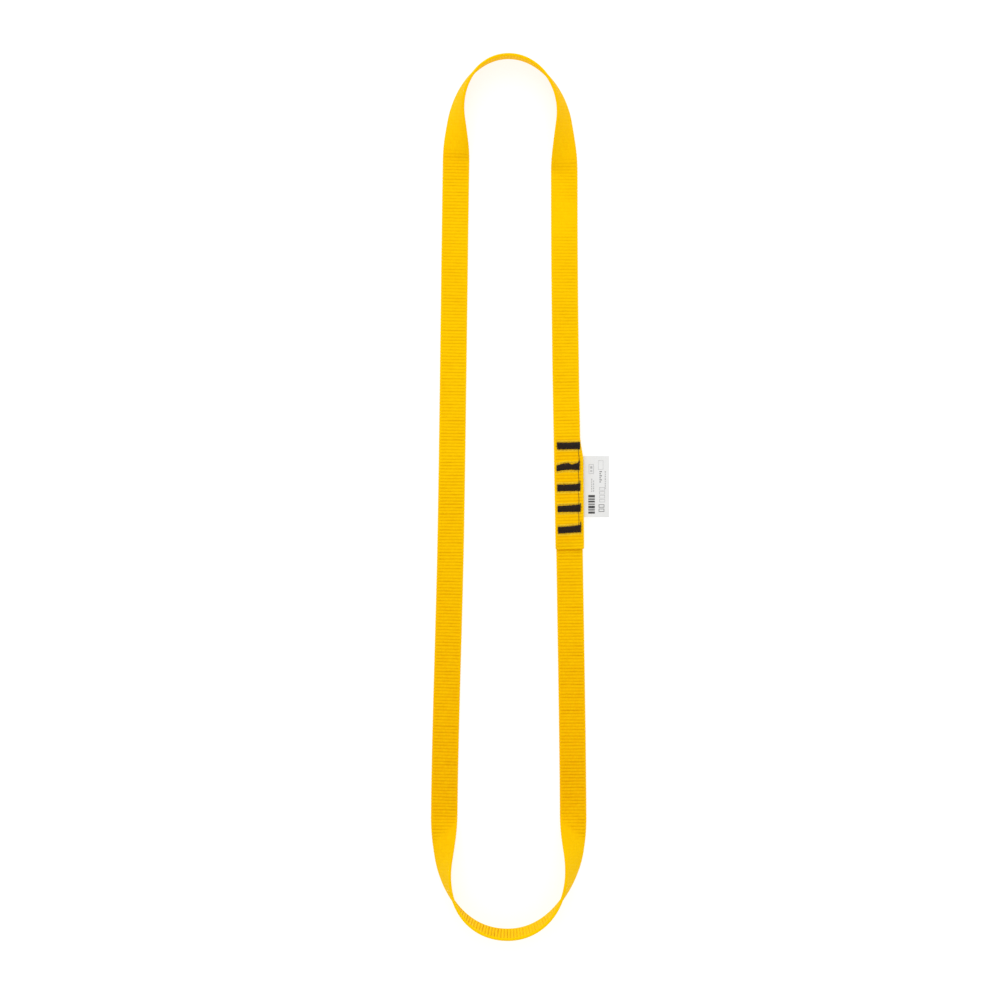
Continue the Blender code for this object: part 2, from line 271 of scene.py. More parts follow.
FLOOR_SIZE = 80.0
FLOOR_Z = -0.0006
FLOOR_GLOW = 0.73
STUDIO_LIGHT = 0.94
KEY_LIGHT_PLACE = (-0.25, 1.3, 0.9)
KEY_LIGHT_TARGET = (0.0, 0.1, 0.0)
KEY_LIGHT_SIZE = 1.2
KEY_LIGHT_POWER = 7.0
CAMERA_PLACE = (-0.0126, -0.0022, 1.5)
VIEW_WIDTH = 0.638
SENSOR_WIDTH = 36.0


# ---- Small helpers ---------------------------------------------------------------------------------


def smooth_step(t):
    t = np.clip(t, 0.0, 1.0)
    return t * t * (3.0 - 2.0 * t)


def bell(distance, width):
    return np.exp(-((distance / width) ** 2))


def deselect():
    bpy.ops.object.select_all(action="DESELECT")


def only(*objects):
    """Selects these objects and makes the first one active."""
    deselect()
    for piece in objects:
        piece.select_set(True)
    bpy.context.view_layer.objects.active = objects[0]


def settle(piece, name, material):
    """Names a finished piece, puts its place into its mesh, and gives it its finish."""
    piece.name = name
    piece.data.name = name
    piece.data.transform(piece.matrix_world)
    piece.matrix_world = Matrix.Identity(4)
    piece.data.materials.clear()
    piece.data.materials.append(material)
    return piece


# ---- Materials -------------------------------------------------------------------------------------


class Tree:
    """Adds and links nodes in a material's or a group's tree."""

    def __init__(self, tree):
        self.tree = tree

    def add(self, kind, inputs=(), **settings):
        node = self.tree.nodes.new(kind)
        for key, value in settings.items():
            setattr(node, key, value)
        for key, value in dict(inputs).items():
            self.feed(node, key, value)
        return node

    def feed(self, node, key, value):
        socket = node.inputs[key]
        if isinstance(value, bpy.types.NodeSocket):
            self.tree.links.new(value, socket)
        else:
            socket.default_value = value

    def maths(self, operation, a, b=0.0, c=0.0, clamp=False):
        node = self.add("ShaderNodeMath", {0: a, 1: b, 2: c}, operation=operation, use_clamp=clamp)
        return node.outputs[0]

    def mix(self, factor, a, b):
        node = self.add("ShaderNodeMix", data_type="RGBA")
        for key, value in ((0, factor), (6, a), (7, b)):
            self.feed(node, key, value)
        return node.outputs[2]

    def spread(self, value, low, high, to_low=0.0, to_high=1.0):
        inputs = {0: value, 1: low, 2: high, 3: to_low, 4: to_high}
        return self.add("ShaderNodeMapRange", inputs, interpolation_type="SMOOTHSTEP").outputs[0]


def new_group(name, inputs, outputs):
    group = bpy.data.node_groups.new(name, "ShaderNodeTree")
    for label, kind in inputs:
        group.interface.new_socket(label, in_out="INPUT", socket_type=kind)
    for label, kind in outputs:
        group.interface.new_socket(label, in_out="OUTPUT", socket_type=kind)
    tree = Tree(group)
    return group, tree, tree.add("NodeGroupInput"), tree.add("NodeGroupOutput")


def new_material(name, specular):
    material = bpy.data.materials.new(name)
    material.use_nodes = True
    shader = material.node_tree.nodes["Principled BSDF"]
    shader.inputs["Specular IOR Level"].default_value = specular
    return material, Tree(material.node_tree), shader


def yarn_weave_group():
    """Yarns that run along a strip, over one cross rib and under the next, each beside a yarn that does
    the opposite, with the fine fibres that each is spun from. Lengths are in millimetres."""
    number = "NodeSocketFloat"
    inputs = (("Across", number), ("Along", number), ("Yarn Width", number), ("Float Length", number))
    outputs = (("Height", number), ("Tint", number))
    group, tree, given, result = new_group("yarn_weave", inputs, outputs)
    along = tree.maths("DIVIDE", given.outputs["Along"], given.outputs["Float Length"])
    rib = tree.maths("FLOOR", along)
    step = tree.maths("MULTIPLY", tree.maths("FLOORED_MODULO", rib, 2.0), 0.5)
    widths = tree.maths("DIVIDE", given.outputs["Across"], given.outputs["Yarn Width"])
    across = tree.maths("ADD", widths, step)
    yarn = tree.maths("FLOOR", across)
    bulge = tree.maths("SINE", tree.maths("MULTIPLY", tree.maths("FRACT", across), math.pi))
    dive = tree.maths("SINE", tree.maths("MULTIPLY", tree.maths("FRACT", along), math.pi))
    soft_bulge = tree.maths("POWER", tree.maths("MAXIMUM", bulge, 0.0), 0.5)
    soft_dive = tree.maths("POWER", tree.maths("MAXIMUM", dive, 0.0), 0.35)
    fibre_width = tree.maths("MULTIPLY", given.outputs["Yarn Width"], 0.14)
    fibre_place = tree.maths("DIVIDE", given.outputs["Across"], fibre_width)
    fibre_run = tree.maths("MULTIPLY", along, 1.6)
    fibres = tree.add("ShaderNodeCombineXYZ", {0: fibre_place, 1: fibre_run})
    fibre = tree.add("ShaderNodeTexNoise", {"Vector": fibres.outputs[0], "Scale": 1.0, "Detail": 1.0})
    whole = tree.maths("MULTIPLY", soft_bulge, soft_dive)
    fine = tree.maths("MULTIPLY_ADD", fibre.outputs["Fac"], 0.35, 0.8)
    tree.feed(result, "Height", tree.maths("MULTIPLY", whole, fine))
    each = tree.add("ShaderNodeCombineXYZ", {0: yarn, 1: rib})
    noise = tree.add("ShaderNodeTexWhiteNoise", {"Vector": each.outputs[0]}, noise_dimensions="2D")
    tree.feed(result, "Tint", noise.outputs["Value"])
    return group


def soft_patches_group():
    """Slow changes of shade over a piece, from its own coordinates in metres."""
    number = "NodeSocketFloat"
    inputs = (("Patch Size", number), ("Contrast", number))
    group, tree, given, result = new_group("soft_patches", inputs, (("Factor", number),))
    place = tree.add("ShaderNodeTexCoord").outputs["Object"]
    scale = tree.maths("DIVIDE", 1.0, given.outputs["Patch Size"])
    settings = {"Vector": place, "Scale": scale, "Detail": 3.0, "Roughness": 0.55}
    noise = tree.add("ShaderNodeTexNoise", settings).outputs["Fac"]
    centred = tree.maths("SUBTRACT", noise, 0.5)
    tree.feed(result, "Factor", tree.maths("MULTIPLY_ADD", centred, given.outputs["Contrast"], 0.5, True))
    return group


def needle_marks_group():
    """The row of small swellings and needle holes along both sides of a bar tack, as masks for the bump, for
    a painted highlight on the swellings and for painted shade in the holes. Millimetres.
    """
    number = "NodeSocketFloat"
    inputs = (("Across", number), ("From Tack", number))
    group, tree, given, result = new_group("needle_marks", inputs, (("Bump", number), ("Hole Shade", number)))
    period = STITCH_PITCH * 2000.0
    turns = tree.maths("MULTIPLY", given.outputs["Across"], 2.0 * math.pi / period)
    teeth = tree.maths("MULTIPLY_ADD", tree.maths("SINE", turns), 0.5, 0.5)
    away = given.outputs["From Tack"]
    near = tree.spread(away, 2.0, 2.5)
    bump_band = tree.maths("MULTIPLY", near, tree.spread(away, 3.1, 4.0, 1.0, 0.0))
    hole_band = tree.maths("MULTIPLY", near, tree.spread(away, 2.6, 3.5, 1.0, 0.0))
    tree.feed(result, "Bump", tree.maths("MULTIPLY", tree.maths("MULTIPLY", bump_band, teeth), 0.8))
    between = tree.maths("SUBTRACT", 1.0, teeth)
    tree.feed(result, "Hole Shade", tree.maths("MULTIPLY", tree.maths("MULTIPLY", hole_band, between), 0.85))
    return group


YARN_WEAVE = yarn_weave_group()
SOFT_PATCHES = soft_patches_group()
NEEDLE_MARKS = needle_marks_group()


def use_group(tree, group, inputs):
    node = tree.add("ShaderNodeGroup", node_tree=group)
    for key, value in inputs.items():
        tree.feed(node, key, value)
    return node


def strip_millimetres(tree):
    """Millimetres across and along a strip, from its own map."""
    mapped = tree.add("ShaderNodeUVMap", uv_map="strip").outputs[0]
    parts = tree.add("ShaderNodeSeparateXYZ", {0: mapped})
    return parts.outputs[0], parts.outputs[1]


def yellow_webbing():
    material, tree, shader = new_material("yellow_webbing", specular=0.06)
    shader.inputs["Specular Tint"].default_value = (1.0, 0.72, 0.12, 1.0)
    across, along = strip_millimetres(tree)
    settings = {"Across": across, "Along": along, "Yarn Width": 0.7, "Float Length": RIB_PITCH * 1000.0}
    weave = use_group(tree, YARN_WEAVE, settings)
    patches = use_group(tree, SOFT_PATCHES, {"Patch Size": 0.03, "Contrast": 1.6})
    groove = tree.add("ShaderNodeAttribute", attribute_name="groove").outputs["Fac"]
    sealed = tree.add("ShaderNodeAttribute", attribute_name="sealed").outputs["Fac"]
    from_tack_mm = tree.add("ShaderNodeAttribute", attribute_name="from_tack").outputs["Fac"]
    marks = use_group(tree, NEEDLE_MARKS, {"Across": across, "From Tack": from_tack_mm})
    yellow = tree.mix(patches.outputs["Factor"], (0.955, 0.53, 0.0006, 1.0), (0.995, 0.605, 0.0008, 1.0))
    place = tree.add("ShaderNodeSeparateXYZ", {0: tree.add("ShaderNodeTexCoord").outputs["Object"]})
    # Painted shade and light along the loop's height: darker lower legs, a lighter lower crown, a darker
    # upper eye.
    for comes_in, goes, amount, shade in PAINTED_SHADE_AND_LIGHT:
        arrived = tree.spread(place.outputs[1], *comes_in)
        staying = tree.spread(place.outputs[1], *goes, amount, 0.0)
        yellow = tree.mix(tree.maths("MULTIPLY", arrived, staying), yellow, shade)
    yellow = tree.mix(tree.spread(from_tack_mm, 6.7, 8.9, 0.6, 0.0), yellow, DEEP_YELLOW)
    tint = tree.maths("MULTIPLY", weave.outputs["Tint"], 0.4)
    tinted = tree.mix(tint, yellow, (1.0, 0.63, 0.001, 1.0))
    loose = tree.add("ShaderNodeAttribute", attribute_name="loose").outputs["Fac"]
    # Painted shade in the gaps between the yarns, strongest where the ribs show.
    between_yarns = tree.spread(weave.outputs["Height"], 0.0, 0.75, 0.25, 0.0)
    gap_shade = tree.maths("MULTIPLY", between_yarns, tree.maths("MULTIPLY_ADD", loose, 0.7, 0.3))
    woven = tree.mix(gap_shade, tinted, (0.70, 0.30, 0.0004, 1.0))
    # Painted shade in the grooves between the ribs.
    shaded = tree.mix(tree.maths("MULTIPLY", groove, 0.65), woven, (0.62, 0.25, 0.0004, 1.0))
    # Painted highlight on the swellings beside the tacks, and painted shade in the needle holes between
    # them.
    swollen = tree.mix(marks.outputs["Bump"], shaded, (1.0, 0.78, 0.06, 1.0))
    hole_shaded = tree.mix(marks.outputs["Hole Shade"], swollen, (0.40, 0.12, 0.0004, 1.0))
    # The melted cut end's darker colour, partly a painted shadow under the cut end.
    melt_and_shadow = tree.mix(sealed, hole_shaded, (0.80, 0.40, 0.002, 1.0))
    tree.feed(shader, "Base Color", melt_and_shadow)
    rough = tree.spread(weave.outputs["Height"], 0.0, 1.0, 0.85, 0.65)
    tree.feed(shader, "Roughness", tree.maths("MULTIPLY_ADD", sealed, -0.3, rough))
    height = tree.maths("MULTIPLY_ADD", marks.outputs["Bump"], 3.0, weave.outputs["Height"])
    inputs = {"Height": height, "Strength": 0.8, "Distance": 0.00014}
    tree.feed(shader, "Normal", tree.add("ShaderNodeBump", inputs).outputs[0])
    return material


def black_thread():
    material, tree, shader = new_material("black_thread", specular=0.22)
    place = tree.add("ShaderNodeTexCoord").outputs["Object"]
    fibre_map = tree.add("ShaderNodeMapping", {"Vector": place, "Scale": (9000.0, 1800.0, 9000.0)})
    fibre = tree.add("ShaderNodeTexNoise", {"Vector": fibre_map.outputs[0], "Scale": 1.0, "Detail": 2.0})
    patches = use_group(tree, SOFT_PATCHES, {"Patch Size": 0.0012, "Contrast": 2.0})
    fibre_shade = tree.spread(fibre.outputs["Fac"], 0.35, 0.75)
    black = tree.mix(fibre_shade, (0.003, 0.002, 0.0015, 1.0), (0.015, 0.011, 0.009, 1.0))
    # Warm brown patches on the black thread: a painted reflection of the yellow webbing.
    reflected_yellow = tree.maths("MULTIPLY", patches.outputs["Factor"], 0.6)
    tree.feed(shader, "Base Color", tree.mix(reflected_yellow, black, (0.040, 0.014, 0.003, 1.0)))
    tree.feed(shader, "Roughness", tree.spread(fibre.outputs["Fac"], 0.3, 0.8, 0.36, 0.58))
    inputs = {"Height": fibre.outputs["Fac"], "Strength": 0.5, "Distance": 0.00004}
    tree.feed(shader, "Normal", tree.add("ShaderNodeBump", inputs).outputs[0])
    return material


def white_label():
    material, tree, shader = new_material("white_label", specular=0.45)
    across, along = strip_millimetres(tree)
    settings = {"Across": across, "Along": along, "Yarn Width": 0.22, "Float Length": 0.44}
    weave = use_group(tree, YARN_WEAVE, settings)
    patches = use_group(tree, SOFT_PATCHES, {"Patch Size": 0.009, "Contrast": 1.5})
    white = tree.mix(patches.outputs["Factor"], (0.74, 0.74, 0.73, 1.0), (0.81, 0.81, 0.80, 1.0))
    shade = tree.maths("MULTIPLY", weave.outputs["Tint"], 0.12)
    tree.feed(shader, "Base Color", tree.mix(shade, white, (0.66, 0.66, 0.66, 1.0)))
    tree.feed(shader, "Roughness", tree.spread(weave.outputs["Height"], 0.0, 1.0, 0.5, 0.36))
    inputs = {"Height": weave.outputs["Height"], "Strength": 0.15, "Distance": 0.00003}
    tree.feed(shader, "Normal", tree.add("ShaderNodeBump", inputs).outputs[0])
    return material


def label_ink(name, dark, pale):
    """Ink that has worn a little thin in small soft patches."""
    material, tree, shader = new_material(name, specular=0.3)
    shader.inputs["Roughness"].default_value = 0.5
    patches = use_group(tree, SOFT_PATCHES, {"Patch Size": 0.0007, "Contrast": 2.2})
    tree.feed(shader, "Base Color", tree.mix(patches.outputs["Factor"], dark, pale))
    return material


def pale_floor():
    material, tree, shader = new_material("pale_floor", specular=0.1)
    shader.inputs["Roughness"].default_value = 0.9
    shader.inputs["Base Color"].default_value = (0.35, 0.35, 0.35, 1.0)
    shader.inputs["Emission Color"].default_value = (1.0, 1.0, 1.0, 1.0)
    shader.inputs["Emission Strength"].default_value = FLOOR_GLOW
    return material


YELLOW_WEBBING = yellow_webbing()
BLACK_THREAD = black_thread()
WHITE_LABEL = white_label()
DARK_INK = label_ink("dark_ink", (0.03, 0.03, 0.032, 1.0), (0.10, 0.10, 0.10, 1.0))
MID_INK = label_ink("mid_ink", (0.10, 0.10, 0.10, 1.0), (0.26, 0.26, 0.26, 1.0))
GREY_INK = label_ink("grey_ink", (0.34, 0.34, 0.34, 1.0), (0.54, 0.54, 0.54, 1.0))


# ---- The webbing -----------------------------------------------------------------------------------


def heading(degrees):
    angle = math.radians(degrees)
    return Vector((math.cos(angle), math.sin(angle), 0.0))


class Route:
    """Where the webbing runs: its centre, roll and frame at each length s from the top layer's end."""

    def __init__(self):
        points = []
        knots = []
        for before, after in zip(WEBBING_KNOTS, WEBBING_KNOTS[1:]):
            start = Vector((before[0], before[1], 0.0))
            end = Vector((after[0], after[1], 0.0))
            ahead = start + heading(before[2]) * before[4]
            behind = end - heading(after[2]) * after[3]
            knots.append(len(points))
            points += interpolate_bezier(start, ahead, behind, end, SAMPLES_PER_SPAN)[:-1]
        points.append(end)
        self.plan = np.array([p[:2] for p in points], float)
        steps = np.linalg.norm(np.diff(self.plan, axis=0), axis=1)
        self.along = np.concatenate([[0.0], np.cumsum(steps)])
        self.length = self.along[-1]
        self.upper_crown = self.along[knots[UPPER_CROWN_KNOT]]
        self.lower_crown = self.along[knots[LOWER_CROWN_KNOT]]

    def roll(self, s):
        """Radians that the webbing has turned about its own length."""
        turned = np.zeros_like(s)
        for crown, (degrees, before, after, power) in (
            (self.upper_crown, UPPER_ROLL),
            (self.lower_crown, LOWER_ROLL),
        ):
            t = np.maximum(1.0 - np.abs(s - crown) / np.where(s < crown, before, after), 0.0)
            soft = (np.hypot(t, ROLL_SOFT_START) - ROLL_SOFT_START) / (
                math.hypot(1.0, ROLL_SOFT_START) - ROLL_SOFT_START
            )
            turned += math.radians(degrees) * (1.0 - (1.0 - soft) ** power)
        return turned

    def centre(self, s):
        roll = self.roll(s)
        half_section = (WEBBING_WIDTH * np.sin(roll) + WEBBING_THICKNESS * np.abs(np.cos(roll))) / 2.0
        top_lift = TOP_LAYER_Z * smooth_step((LAP_LENGTH + UPPER_RAMP - s) / UPPER_RAMP)
        from_end = self.length - s
        bottom_lift = BOTTOM_LAYER_Z * smooth_step((LAP_LENGTH + LOWER_RAMP - from_end) / LOWER_RAMP)
        x = np.interp(s, self.along, self.plan[:, 0])
        y = np.interp(s, self.along, self.plan[:, 1])
        return np.stack([x, y, half_section + top_lift + bottom_lift], axis=1)

    def edge_spread(self, s):
        """How far the stitching has moved the top layer's outer edge outwards."""
        first, full = SPREAD_LENGTHS
        widest = CUT_END_SPREAD + (EDGE_SPREAD - CUT_END_SPREAD) * np.minimum(s / full, 1.0)
        return widest * smooth_step((first - s) / (first - full))

    def frames(self, s):
        """Centres, directions across towards the inner edge, and outward normals of the outer face."""
        nudge = 0.0006
        low = np.maximum(s - nudge, 0.0)
        high = np.minimum(s + nudge, self.length)
        tangent = self.centre(high) - self.centre(low)
        tangent /= np.linalg.norm(tangent, axis=1, keepdims=True)
        inward = np.stack([-tangent[:, 1], tangent[:, 0], np.zeros(len(s))], axis=1)
        inward /= np.linalg.norm(inward, axis=1, keepdims=True)
        upward = np.cross(inward, tangent)
        upward *= np.sign(upward[:, 2:3])
        roll = self.roll(s)[:, None]
        across = inward * np.cos(roll) + upward * np.sin(roll)
        normal = upward * np.cos(roll) - inward * np.sin(roll)
        return self.centre(s), across, normal


ROUTE = Route()


def section():
    """The webbing's outline: across and out of the middle plane for each point, and which face it is
    on: 1 on the outer face, -1 on the inner one, and in between round the selvedges."""
    half_width = WEBBING_WIDTH / 2.0
    half_thickness = WEBBING_THICKNESS / 2.0
    flat = half_width - SELVEDGE_DEPTH
    points = []
    for u in np.linspace(-flat, flat, OUTER_COLUMNS):
        points.append((u, half_thickness, 1.0))
    for i in range(1, SELVEDGE_POINTS + 1):
        angle = math.pi / 2.0 - math.pi * i / (SELVEDGE_POINTS + 1)
        points.append((flat + SELVEDGE_DEPTH * math.cos(angle), half_thickness * math.sin(angle), 0.0))
    for u in np.linspace(flat, -flat, INNER_COLUMNS):
        points.append((u, -half_thickness, -1.0))
    for i in range(1, SELVEDGE_POINTS + 1):
        angle = -math.pi / 2.0 - math.pi * i / (SELVEDGE_POINTS + 1)
        points.append((-flat + SELVEDGE_DEPTH * math.cos(angle), half_thickness * math.sin(angle), 0.0))
    return np.array(points)


RIB_COUNT = math.ceil(ROUTE.length / RIB_PITCH) + 3
RIB_STRENGTH = rng.uniform(0.7, 1.1, (RIB_COUNT, 1)) * rng.uniform(0.65, 1.15, (RIB_COUNT, 6))
RIB_STRAY = rng.normal(0.0, 0.03, (RIB_COUNT, 4))


def along_rib(values, rib, u):
    """What a table of values, one row for each rib, holds at a place across the webbing."""
    across = np.clip(u / WEBBING_WIDTH + 0.5, 0.0, 1.0) * (values.shape[1] - 1)
    column = np.clip(np.floor(across).astype(int), 0, values.shape[1] - 2)
    share = across - column
    return values[rib, column] * (1.0 - share) + values[rib, column + 1] * share


def rib_place(s, u):
    """The ribs counted along the webbing: a whole number is a groove, and a half is the top of a rib."""
    slant = RIB_SLANT * np.sin(2.0 * math.pi * s / SLANT_PERIOD + SLANT_START)
    return (s + slant * u) / RIB_PITCH


def groove(s, u):
    """How deep the groove between two ribs is at each place: 0 on a rib and 1 in a full groove."""
    edge = (WEBBING_WIDTH / 2.0 - np.abs(u)) / WEBBING_WIDTH
    place = rib_place(s, u)
    rib = np.clip(np.round(place).astype(int), 0, RIB_COUNT - 1)
    distance = np.abs(place + along_rib(RIB_STRAY, rib, u) - rib) * 2.0
    line = np.clip(1.0 - distance, 0.0, 1.0) ** GROOVE_SHARPNESS
    run_in = smooth_step((edge - GROOVE_MARGIN) / GROOVE_RUN_IN)
    return line * along_rib(RIB_STRENGTH, rib, u) * run_in


def show_on_roll(s, outer_side):
    """How much of the ribs is left on the outer face where the webbing rolls up on edge, and how much
    comes back close to a crown."""
    roll = np.degrees(ROUTE.roll(s))
    is_lower = s > (ROUTE.upper_crown + ROUTE.lower_crown) / 2.0
    later = np.where(is_lower, SMOOTH_LATER_LOWER, SMOOTH_LATER_UPPER)
    held_until = SMOOTH_FROM + later * outer_side - SMOOTH_SOONER * (s > ROUTE.lower_crown)
    left = 1.0 - TWIST_SMOOTHING * smooth_step((roll - held_until) / SMOOTH_OVER)
    back = RIBS_BACK * smooth_step((roll - RIBS_BACK_FROM) / RIBS_BACK_OVER)
    return left, back


def show_on_leg(s, y, outer_side):
    """How much of the ribs shows along a leg: less where it is pulled smooth, and less high up."""
    across, across_reach = PULLED_ACROSS
    inner, inner_reach = PULLED_INNER_EDGE
    away = np.abs(y - PULLED_Y)
    pulled = across * bell(away, across_reach) + inner * bell(away, inner_reach) * (1.0 - outer_side)
    on_right_leg = s < ROUTE.upper_crown
    fade, fade_from, fade_over = UPPER_FADE
    upper_part = 1.0 - fade * smooth_step((y - fade_from) / fade_over)
    return upper_part * (1.0 - np.where(on_right_leg, np.minimum(pulled, PULLED_MOST), 0.0))


def show_on_inner_face(s, x):
    """How much of the ribs shows on the inner face: most in the lower eye, and more on its left side."""
    arriving = smooth_step((s - ROUTE.lower_crown + LOWER_EYE_BEFORE) / 0.01)
    in_lower_eye = arriving * (s < ROUTE.lower_crown + LOWER_EYE_PAST)
    left_side = 0.3 + 0.7 * smooth_step((LOWER_EYE_X - x) / 0.018)
    return INNER_SHOW + LOWER_EYE_SHOW * in_lower_eye * left_side


def rib_show(s, u, is_inner):
    """How much of the ribs shows at each place on the webbing."""
    outer_side = 0.5 - u / WEBBING_WIDTH
    x = np.interp(s, ROUTE.along, ROUTE.plan[:, 0])
    y = np.interp(s, ROUTE.along, ROUTE.plan[:, 1])
    left, back = show_on_roll(s, outer_side)
    on_outer_face = left * show_on_leg(s, y, outer_side) + back
    return np.where(is_inner, show_on_inner_face(s, x), on_outer_face)


def tack_middle(number, share):
    """The y of the middle of a tack's stitches at a share, from -1 to 1, of its length."""
    places, strays, _ = TACK_RUNS[number]
    return TACK_TOP_Y - number * TACK_PITCH + np.interp(share, places, strays)


def from_tack(x, y):
    """Metres from the nearest tack's middle line, and how firmly that tack holds a place: 0 past its ends
    and 1 along its length."""
    nearest = np.full(x.shape, UNSTITCHED)
    held = np.zeros(x.shape)
    for number in range(TACK_COUNT):
        beside = np.abs(x - TACK_XS[number])
        share = np.clip((x - TACK_XS[number]) / TACK_HALF_LENGTH, -1.0, 1.0)
        away = np.abs(y - tack_middle(number, share))
        is_nearer = away < nearest
        nearest = np.where(is_nearer, away, nearest)
        holding = smooth_step((TACK_HALF_LENGTH + HOLD_PAST_END - beside) / HOLD_FADE)
        held = np.where(is_nearer, holding, held)
    return nearest, held


def seam_relief(away, held):
    """How the stitches pull a layer down at the tacks and let it swell beside them."""
    dip, dip_reach = TACK_DIP
    lip, lip_reach, lip_away = TACK_LIP
    swell, swell_reach = TACK_SWELL
    pulled = dip * bell(away, dip_reach)
    raised = lip * bell(away - lip_away, lip_reach)
    swollen = swell * bell(away - TACK_PITCH / 2.0, swell_reach)
    return (raised + swollen - pulled) * held


def run_rings(start, end):
    """The length s of each ring of points in a run."""
    ribs = np.arange(math.floor(start / RIB_PITCH), math.ceil(end / RIB_PITCH))
    rings = (ribs[:, None] + np.array(RING_SHARES)).ravel() * RIB_PITCH
    inside = (rings > start + RING_GAP) & (rings < end - RING_GAP)
    return np.concatenate([[start], rings[inside], [end]])


def spread_out(s, u):
    """Where a place across the webbing goes when the stitching spreads the outer edge."""
    return u - ROUTE.edge_spread(s) * (0.5 - u / WEBBING_WIDTH)


def webbing_run(name, start, end, cut):
    """One run of the webbing as a closed solid with its ribs, its selvedges and its cut end."""
    rings = run_rings(start, end)
    centre, across, normal = ROUTE.frames(rings)
    outline = section()
    u, v, face = (np.repeat(outline[None, :, i], len(rings), axis=0) for i in range(3))
    s = np.repeat(rings[:, None], len(outline), axis=1)

    # Ribs and notched selvedges.
    shown = rib_show(s, u, face < 0)
    rib = groove(s, u) * np.abs(face) * shown
    v = v - rib * np.where(face > 0, GROOVE_DEPTH, -INNER_GROOVE_DEPTH)
    from_groove = rib_place(s, u) - np.round(rib_place(s, u))
    pinch = SELVEDGE_PINCH * bell(from_groove, PINCH_SHARE)
    u = u - np.where(face == 0.0, pinch * np.sign(u), 0.0)

    # The seam: the top layer's cut end lies down, and the stitches pull both layers in.
    level = centre[:, None] + across[:, None] * spread_out(s, u)[..., None]
    away, held = from_tack(level[..., 0], level[..., 1])
    is_top = s < LAP_LENGTH
    in_lap = is_top | (s > ROUTE.length - LAP_LENGTH)
    v = v - CUT_END_SAG * smooth_step((CUT_END_SAG_FROM - s) / CUT_END_SAG_OVER)
    near_end = smooth_step((CUT_END_PRESS_REACH - s) / CUT_END_PRESS_REACH)
    pressed = near_end * smooth_step((u - CUT_END_PRESS_FROM) / CUT_END_PRESS_OVER)
    v = v - np.where(face > 0, CUT_END_PRESS * pressed, 0.0)
    relief = seam_relief(away, held) * np.where(is_top, 1.0, LOWER_LAYER_RELIEF)
    v = v + np.where(in_lap, relief, 0.0)
    is_stitched = in_lap & (face == np.where(is_top, 1.0, -1.0)) & (held > 0.3)
    stitched = np.where(is_stitched, away, UNSTITCHED)

    # The cut end's melted corners.
    sealed = np.clip(1.0 - np.abs(s - cut) / CUT_CORNER, 0.0, 1.0)
    u = u * (1.0 - 2.0 * CUT_CORNER / WEBBING_WIDTH * (1.0 - np.sqrt(1.0 - sealed**2)))
    v = v * (1.0 - CUT_END_THINNING * sealed**2)
    # The melted end's darker colour, kept off the pressed part so that it shows towards the outer edge,
    # where it is partly a painted shadow of the cut end's step.
    melt_and_shadow = sealed * (1.0 - 0.8 * pressed)

    u = spread_out(s, u)
    points = centre[:, None] + across[:, None] * u[..., None] + normal[:, None] * v[..., None]
    marks = {"groove": rib, "loose": shown, "sealed": melt_and_shadow, "from_tack": stitched * 1000.0}
    return strip_mesh(name, points, rib_place(s, u) * RIB_PITCH, marks)


def strip_faces(count, size):
    """The faces of a closed strip: quads between its rings of points, and one face over each end."""
    ring = np.arange(size)
    following = (ring + 1) % size
    base = np.arange(count - 1)[:, None] * size
    corners = [base + ring, base + following, base + size + following, base + size + ring]
    quads = np.stack(corners, axis=-1).reshape(-1, 4)
    last = (count - 1) * size
    faces = [tuple(q) for q in quads[:, ::-1].tolist()]
    return faces + [tuple(ring.tolist()), tuple((last + ring[::-1]).tolist())]


def corner_vertices(mesh):
    corners = np.empty(len(mesh.loops), int)
    mesh.loops.foreach_get("vertex_index", corners)
    return corners


def map_strip(mesh, points, along):
    """Maps a strip in millimetres, round its section and along it. The last quad of each ring closes the
    section, so its far side is mapped at the whole girth and not back at nothing."""
    count, size = along.shape
    girth = np.linalg.norm(np.roll(points, -1, axis=1) - points, axis=2)[0]
    around = np.concatenate([[0.0], np.cumsum(girth)[:-1]])
    flat_map = np.stack([np.repeat(around[None], count, axis=0), along], axis=-1).reshape(-1, 2) * 1000.0
    corner_map = flat_map[corner_vertices(mesh)]
    last_quads = (np.arange(1, count) * size - 1) * 4
    for corner in (1, 2):
        corner_map[last_quads + corner, 0] = girth.sum() * 1000.0
    mesh.uv_layers.new(name="strip").data.foreach_set("uv", corner_map.ravel())


def strip_mesh(name, points, along, marks):
    """A closed strip from rings of points, with its map and what its material needs to know at each
    point."""
    mesh = bpy.data.meshes.new(name)
    mesh.from_pydata(points.reshape(-1, 3).tolist(), [], strip_faces(*along.shape))
    map_strip(mesh, points, along)
    for label, values in marks.items():
        attribute = mesh.attributes.new(label, "FLOAT", "POINT")
        attribute.data.foreach_set("value", values.ravel().astype(np.float32))
    mesh.shade_smooth()
    piece = bpy.data.objects.new(name, mesh)
    bpy.context.scene.collection.objects.link(piece)
    work = bmesh.new()
    work.from_mesh(mesh)
    if work.calc_volume(signed=True) < 0.0:
        bmesh.ops.reverse_faces(work, faces=work.faces)
    work.to_mesh(mesh)
    work.free()
    return settle(piece, name, YELLOW_WEBBING)


def leg_split():
    """The length s of the groove in the middle of the left leg, where the two runs meet."""
    inside = (ROUTE.along > ROUTE.upper_crown) & (ROUTE.along < ROUTE.lower_crown)
    s = float(np.interp(0.0, -ROUTE.plan[inside, 1], ROUTE.along[inside]))
    return round(s / RIB_PITCH) * RIB_PITCH


def make_webbing():
    split = leg_split()
    last = ROUTE.length
    upper = webbing_run("webbing_upper_run", 0.0, split, cut=0.0)
    lower = webbing_run("webbing_lower_run", split, last, cut=last)
    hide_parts("webbing_upper_eye", "webbing_seam_top_layer", "webbing_left_leg")
    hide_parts("webbing_lower_eye", "webbing_seam_bottom_layer")
    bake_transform(upper)
    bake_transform(lower)


# ---- The bar tacks and jump threads ----------------------------------------------------------------


